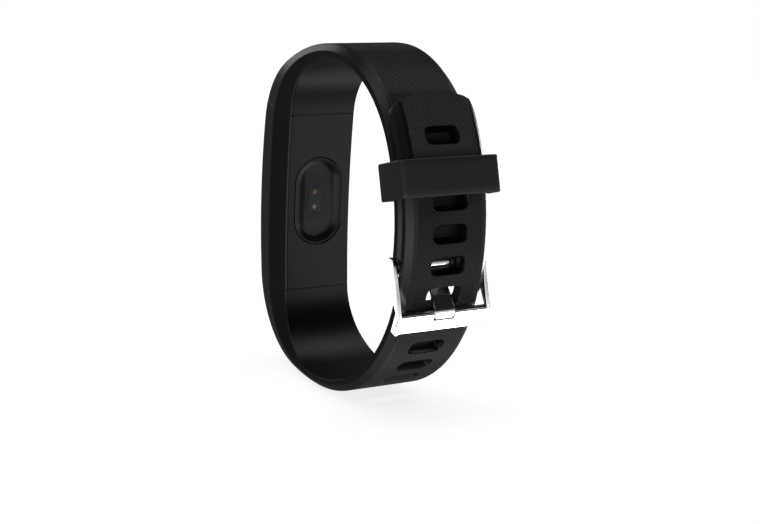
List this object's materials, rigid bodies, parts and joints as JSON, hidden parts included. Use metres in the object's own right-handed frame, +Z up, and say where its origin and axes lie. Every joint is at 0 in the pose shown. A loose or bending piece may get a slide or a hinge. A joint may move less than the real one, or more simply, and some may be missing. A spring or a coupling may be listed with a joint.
{
  "type": "fitness tracker band",
  "caption": "Closed wrist band with a slim tracker body, oval optical sensor on its back, slotted strap, sliding keeper and a tongue buckle on a spring bar.",
  "frame": {"origin": "middle of the wrist opening, on the band's middle plane", "axes": "+X from the tracker to the buckle, +Y along the forearm (the buckle's far arm), +Z up the loop from the slotted strap to the plain strap"},
  "size_m": [0.0646, 0.0224, 0.072],
  "materials": {
    "case_plastic": "satin black",
    "gasket_rubber": "soft",
    "lens_black": "polished black",
    "adhesive_foam": "matt",
    "display_glass": "polished",
    "flex_film": "amber film",
    "gold_plate": "plated",
    "board_green": "solder mask",
    "chip_black": "moulded",
    "ceramic_white": "ceramic",
    "screw_steel": "plain",
    "battery_foil": "laminated foil",
    "lead_red": "sleeved wire",
    "weight_metal": "sintered",
    "bezel_black": "semi-gloss black",
    "window_dark": "polished, dark tint",
    "guard_plastic": "matt",
    "die_silver": "bare",
    "strap_rubber": "soft elastomer, fine crossed texture outside",
    "buckle_chrome": "polished"
  },
  "bodies": {
    "band": {"tracker_case": "case_plastic", "back_cover": "case_plastic", "case_gasket": "gasket_rubber", "front_lens": "lens_black", "lens_adhesive": "adhesive_foam", "display_panel": "display_glass", "display_flex": "flex_film", "touch_pad": "gold_plate", "main_board": "board_green", "processor_chip": "chip_black", "motion_sensor_chip": "chip_black", "radio_antenna": "ceramic_white", "board_screws": "screw_steel", "battery": "battery_foil", "battery_leads": "lead_red", "motor_case": "screw_steel", "motor_shaft": "screw_steel", "sensor_bezel": "bezel_black", "sensor_window": "window_dark", "sensor_board": "chip_black", "sensor_light_guard": "guard_plastic", "sensor_emitter": "gold_plate", "sensor_photodiode": "die_silver", "charging_tongue": "bezel_black", "charging_contacts": "gold_plate", "upper_strap": "strap_rubber", "lower_strap": "strap_rubber", "spring_bar_tube": "screw_steel", "spring_bar_coil": "screw_steel"},
    "keeper": {"keeper": "strap_rubber"},
    "buckle": {"buckle_frame": "buckle_chrome"},
    "tongue": {"buckle_tongue": "buckle_chrome"},
    "pin_near": {"spring_bar_pin_near": "screw_steel"},
    "pin_far": {"spring_bar_pin_far": "screw_steel"},
    "vibration_rotor": {"motor_weight": "weight_metal"}
  },
  "joints": [
    {"name": "keeper_slide", "type": "hinge", "parent": "band", "child": "keeper", "pos_m": [-0.01675, 0, 0.002], "axis": [0, -1, 0], "range_deg": [-9, 7]},
    {"name": "buckle_hinge", "type": "hinge", "parent": "band", "child": "buckle", "pos_m": [0.02381, 0, -0.00327], "axis": [0, -1, 0], "range_deg": [0, 4]},
    {"name": "tongue_hinge", "type": "hinge", "parent": "buckle", "child": "tongue", "pos_m": [0.02381, 0, -0.00327], "axis": [0, -1, 0], "range_deg": [0, 3]},
    {"name": "pin_near_slide", "type": "slide", "parent": "band", "child": "pin_near", "axis": [0, 1, 0], "range_m": [0, 0.001], "stiffness_N_per_m": 400, "springref_m": -0.001, "deforming": ["spring_bar_coil"]},
    {"name": "pin_far_slide", "type": "slide", "parent": "band", "child": "pin_far", "axis": [0, -1, 0], "range_m": [0, 0.001], "stiffness_N_per_m": 400, "springref_m": -0.001, "deforming": ["spring_bar_coil"]},
    {"name": "motor_spin", "type": "hinge", "parent": "band", "child": "vibration_rotor", "pos_m": [-0.02855, 0, 0.0141], "axis": [1, 0, 0], "continuous": true}
  ]
}
